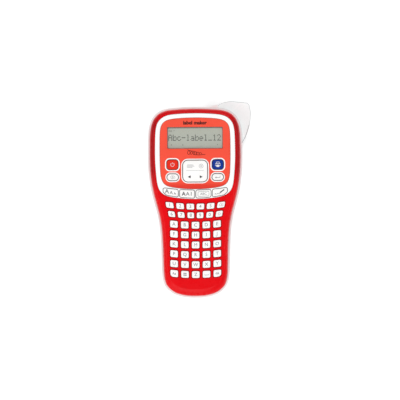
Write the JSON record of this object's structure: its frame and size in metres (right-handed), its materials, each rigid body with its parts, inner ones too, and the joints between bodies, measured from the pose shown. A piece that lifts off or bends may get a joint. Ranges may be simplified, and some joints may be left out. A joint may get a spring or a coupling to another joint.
{
  "type": "label maker",
  "caption": "Hand-held label maker with a display, lettered keys, function keys, a direction pad and a cutter lever beside the tape exit.",
  "frame": {"origin": "on the flat back, on the centre line, below the lower edge of the bezel", "axes": "+X to the reader's right, +Y towards the tape exit, +Z out of the front"},
  "size_m": [0.1094, 0.2077, 0.0512],
  "materials": {
    "red_shell": "moulded, semi-gloss red",
    "white_shell": "moulded, fine satin white",
    "coral_panel": "printed film, semi-gloss coral",
    "white_key": "coated silicone rubber, white",
    "red_key": "coated silicone rubber, red",
    "blue_key": "coated silicone rubber, blue",
    "display_glass": "grey-green reflective display",
    "clear_window": "clear polished window",
    "circuit_board": "laminate with solder mask",
    "dark_plastic": "moulded, black",
    "grey_plastic": "moulded, grey",
    "nylon_gear": "natural nylon",
    "steel": "plain steel",
    "aluminium": "die-cast",
    "black_rubber": "ground rubber roller",
    "cell_jacket": "printed jacket",
    "label_film": "laminated film, white"
  },
  "bodies": {
    "housing": {"front_case": "red_shell", "rear_case": "white_shell", "bezel_ring": "white_shell", "face_panel": "coral_panel", "display_window": "clear_window", "lcd_module": "display_glass", "main_board": "circuit_board", "chassis": "dark_plastic", "drive_motor": "steel", "reduction_axle": "steel", "print_head": "dark_plastic", "heat_sink": "aluminium", "lever_pin": "steel", "lever_spring": "steel", "battery_tray": "dark_plastic", "battery_contacts_left": "steel", "battery_contacts_right": "steel", "label_tape": "label_film", "tape_cassette": "grey_plastic", "battery_1": "cell_jacket", "battery_2": "cell_jacket", "battery_3": "cell_jacket", "battery_4": "cell_jacket", "battery_5": "cell_jacket", "battery_6": "cell_jacket", "case_screw_1": "steel", "case_screw_2": "steel", "case_screw_3": "steel", "case_screw_4": "steel"},
    "back_cover": {"back_cover": "white_shell"},
    "digit_keys_upper": {"digit_keys_upper": "white_key"},
    "digit_keys_lower": {"digit_keys_lower": "white_key"},
    "letter_keys_1": {"letter_keys_1": "white_key"},
    "letter_keys_2": {"letter_keys_2": "white_key"},
    "letter_keys_3": {"letter_keys_3": "white_key"},
    "letter_keys_4": {"letter_keys_4": "white_key"},
    "letter_keys_5": {"letter_keys_5": "white_key"},
    "letter_keys_6": {"letter_keys_6": "white_key"},
    "style_key_1": {"style_key_1": "white_key"},
    "style_key_2": {"style_key_2": "white_key"},
    "style_key_3": {"style_key_3": "white_key"},
    "style_key_4": {"style_key_4": "white_key"},
    "power_key": {"power_key": "red_key"},
    "print_key": {"print_key": "blue_key"},
    "preview_key": {"preview_key": "white_key"},
    "enter_key": {"enter_key": "white_key"},
    "pad_rocker": {"pad_rocker_core": "dark_plastic"},
    "direction_pad": {"direction_pad": "white_key"},
    "reduction": {"reduction_gear": "nylon_gear"},
    "pinion": {"motor_pinion": "nylon_gear"},
    "platen": {"platen_roller": "black_rubber", "platen_shaft": "steel", "platen_gear": "nylon_gear"},
    "ribbon_drive": {"ribbon_spindle": "grey_plastic", "ribbon_gear": "nylon_gear"},
    "cutter_lever": {"cutter_lever": "white_shell"},
    "blade_carriage": {"blade_holder": "grey_plastic", "cutter_blade": "steel"}
  },
  "joints": [
    {"name": "cover_removal", "type": "slide", "parent": "housing", "child": "back_cover", "axis": [0, 0, -1], "range_m": [0, 0.03]},
    {"name": "digit_keys_upper_press", "type": "slide", "parent": "housing", "child": "digit_keys_upper", "axis": [0, 0, -1], "range_m": [0, 0.001], "stiffness_N_per_m": 500},
    {"name": "digit_keys_lower_press", "type": "slide", "parent": "housing", "child": "digit_keys_lower", "axis": [0, 0, -1], "range_m": [0, 0.001], "stiffness_N_per_m": 500},
    {"name": "letter_keys_1_press", "type": "slide", "parent": "housing", "child": "letter_keys_1", "axis": [0, 0, -1], "range_m": [0, 0.001], "stiffness_N_per_m": 500},
    {"name": "letter_keys_2_press", "type": "slide", "parent": "housing", "child": "letter_keys_2", "axis": [0, 0, -1], "range_m": [0, 0.001], "stiffness_N_per_m": 500},
    {"name": "letter_keys_3_press", "type": "slide", "parent": "housing", "child": "letter_keys_3", "axis": [0, 0, -1], "range_m": [0, 0.001], "stiffness_N_per_m": 500},
    {"name": "letter_keys_4_press", "type": "slide", "parent": "housing", "child": "letter_keys_4", "axis": [0, 0, -1], "range_m": [0, 0.001], "stiffness_N_per_m": 500},
    {"name": "letter_keys_5_press", "type": "slide", "parent": "housing", "child": "letter_keys_5", "axis": [0, 0, -1], "range_m": [0, 0.001], "stiffness_N_per_m": 500},
    {"name": "letter_keys_6_press", "type": "slide", "parent": "housing", "child": "letter_keys_6", "axis": [0, 0, -1], "range_m": [0, 0.001], "stiffness_N_per_m": 500},
    {"name": "style_key_1_press", "type": "slide", "parent": "housing", "child": "style_key_1", "axis": [0, 0, -1], "range_m": [0, 0.001], "stiffness_N_per_m": 500},
    {"name": "style_key_2_press", "type": "slide", "parent": "housing", "child": "style_key_2", "axis": [0, 0, -1], "range_m": [0, 0.001], "stiffness_N_per_m": 500},
    {"name": "style_key_3_press", "type": "slide", "parent": "housing", "child": "style_key_3", "axis": [0, 0, -1], "range_m": [0, 0.001], "stiffness_N_per_m": 500},
    {"name": "style_key_4_press", "type": "slide", "parent": "housing", "child": "style_key_4", "axis": [0, 0, -1], "range_m": [0, 0.001], "stiffness_N_per_m": 500},
    {"name": "power_key_press", "type": "slide", "parent": "housing", "child": "power_key", "axis": [0, 0, -1], "range_m": [0, 0.001], "stiffness_N_per_m": 500},
    {"name": "print_key_press", "type": "slide", "parent": "housing", "child": "print_key", "axis": [0, 0, -1], "range_m": [0, 0.001], "stiffness_N_per_m": 500},
    {"name": "preview_key_press", "type": "slide", "parent": "housing", "child": "preview_key", "axis": [0, 0, -1], "range_m": [0, 0.001], "stiffness_N_per_m": 500},
    {"name": "enter_key_press", "type": "slide", "parent": "housing", "child": "enter_key", "axis": [0, 0, -1], "range_m": [0, 0.001], "stiffness_N_per_m": 500},
    {"name": "pad_tilt_up_down", "type": "hinge", "parent": "housing", "child": "pad_rocker", "pos_m": [0, 0.033, 0.046], "axis": [1, 0, 0], "range_deg": [-3, 3], "stiffness_Nm_per_rad": 0.12},
    {"name": "pad_tilt_left_right", "type": "hinge", "parent": "pad_rocker", "child": "direction_pad", "pos_m": [0, 0.033, 0.046], "axis": [0, 1, 0], "range_deg": [-3, 3], "stiffness_Nm_per_rad": 0.12},
    {"name": "reduction_spin", "type": "hinge", "parent": "housing", "child": "reduction", "pos_m": [0.0294, 0.0608, 0.024], "axis": [0, 0, 1], "continuous": true},
    {"name": "pinion_spin", "type": "hinge", "parent": "housing", "child": "pinion", "pos_m": [0.033, 0.0436, 0.024], "axis": [0, 0, 1], "continuous": true},
    {"name": "platen_spin", "type": "hinge", "parent": "housing", "child": "platen", "pos_m": [0.0207, 0.0702, 0.012], "axis": [0, 0, 1], "continuous": true},
    {"name": "ribbon_spin", "type": "hinge", "parent": "housing", "child": "ribbon_drive", "pos_m": [0.0079, 0.0604, 0.012], "axis": [0, 0, 1], "continuous": true},
    {"name": "lever_press", "type": "hinge", "parent": "housing", "child": "cutter_lever", "pos_m": [0.026, 0.091, 0.014], "axis": [0, 0, -1], "range_deg": [0, 8], "stiffness_Nm_per_rad": 0.6, "springref_deg": -2.86},
    {"name": "blade_slide", "type": "slide", "parent": "housing", "child": "blade_carriage", "axis": [-1, 0, 0], "range_m": [0, 0.0012]}
  ],
  "couplings": [
    {"joint": "pinion_spin", "follows": "reduction_spin", "ratio": -3.4},
    {"joint": "platen_spin", "follows": "reduction_spin", "ratio": -0.6},
    {"joint": "ribbon_spin", "follows": "reduction_spin", "ratio": 0.6},
    {"joint": "blade_slide", "follows": "lever_press", "m_per_rad": 0.0084}
  ]
}
